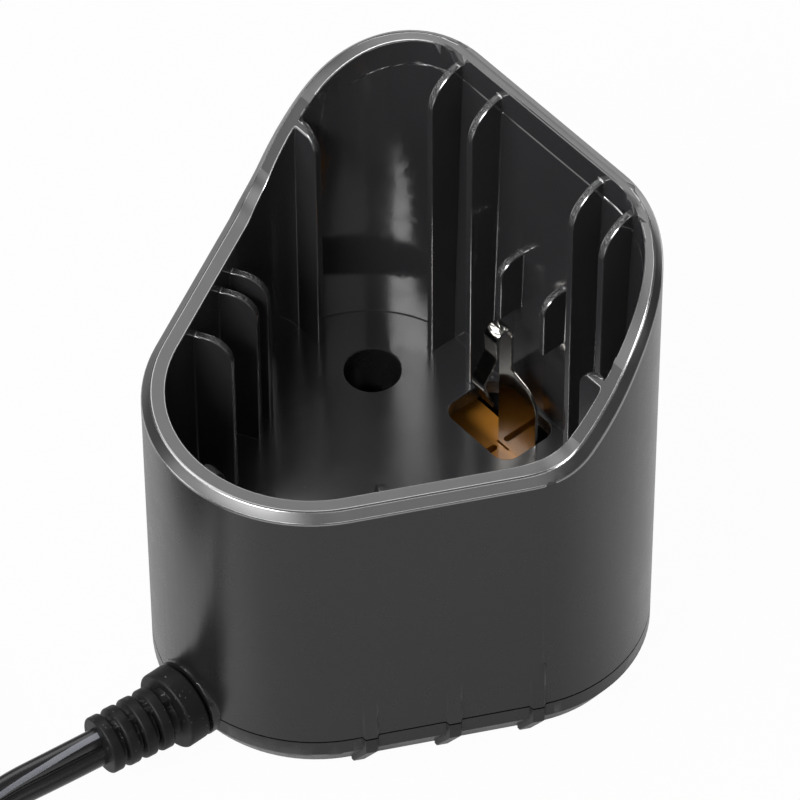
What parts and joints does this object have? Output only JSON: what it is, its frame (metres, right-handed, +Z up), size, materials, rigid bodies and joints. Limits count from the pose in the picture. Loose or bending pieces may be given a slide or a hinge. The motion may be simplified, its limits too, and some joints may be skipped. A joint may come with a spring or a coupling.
{
  "type": "battery charger",
  "caption": "Open charging cup with a raised back, rounded triangular outline, sprung contacts in its floor, a ribbed cord outlet, twin flex and a plug-in supply.",
  "frame": {"origin": "under the middle of the cup's box, on the surface that it stands on", "axes": "+Z up out of the cup's mouth, +Y from the cord outlet at the nose to the raised back"},
  "size_m": [0.0989, 0.1989, 0.0687],
  "materials": {
    "cup_plastic": "moulded black, polished inside and satin outside",
    "cover_plastic": "moulded black, satin",
    "screw_steel": "zinc-plated steel",
    "board_phenolic": "amber phenolic laminate",
    "contact_nickel": "bright nickel-plated spring strip",
    "resistor_body": "lacquered",
    "diode_body": "moulded epoxy",
    "capacitor_can": "sleeved can",
    "relief_rubber": "soft moulded black",
    "cord_skin": "glossy black flex with a grey stripe",
    "tie_band": "soft black band",
    "wire_skin": "insulated wire",
    "supply_plastic": "moulded black, fine grain",
    "pin_brass": "plated brass",
    "core_iron": "stacked steel sheets",
    "winding_copper": "lacquered copper wire"
  },
  "bodies": {
    "charger": {"cup_housing": "cup_plastic", "base_cover": "cover_plastic", "cover_screws": "screw_steel", "circuit_board": "board_phenolic", "board_screws": "screw_steel", "heel_contact_blade": "contact_nickel", "side_contact_blade": "contact_nickel", "charge_resistor": "resistor_body", "blocking_diode": "diode_body", "smoothing_capacitor": "capacitor_can", "positive_wire": "wire_skin", "negative_wire": "wire_skin", "strain_relief": "relief_rubber", "cord_lead": "cord_skin", "cord_coil": "cord_skin", "cord_tail": "cord_skin", "cord_tie": "tie_band", "supply_base": "supply_plastic", "supply_lid": "supply_plastic", "supply_pins": "pin_brass", "supply_boot": "relief_rubber", "supply_core": "core_iron", "supply_winding": "winding_copper", "supply_board": "board_phenolic", "supply_capacitor": "capacitor_can", "supply_screws": "screw_steel"},
    "heel_leaf": {"heel_contact_leaf": "contact_nickel"},
    "side_leaf": {"side_contact_leaf": "contact_nickel"}
  },
  "joints": [
    {"name": "heel_leaf_flex", "type": "hinge", "parent": "charger", "child": "heel_leaf", "pos_m": [-0.00003, 0.02065, 0.0354], "axis": [1, 0, 0], "range_deg": [0, 10], "stiffness_Nm_per_rad": 0.03},
    {"name": "side_leaf_flex", "type": "hinge", "parent": "charger", "child": "side_leaf", "pos_m": [0.01607, -0.00359, 0.0354], "axis": [-0.4596, -0.8881, 0], "range_deg": [0, 10], "stiffness_Nm_per_rad": 0.03}
  ]
}
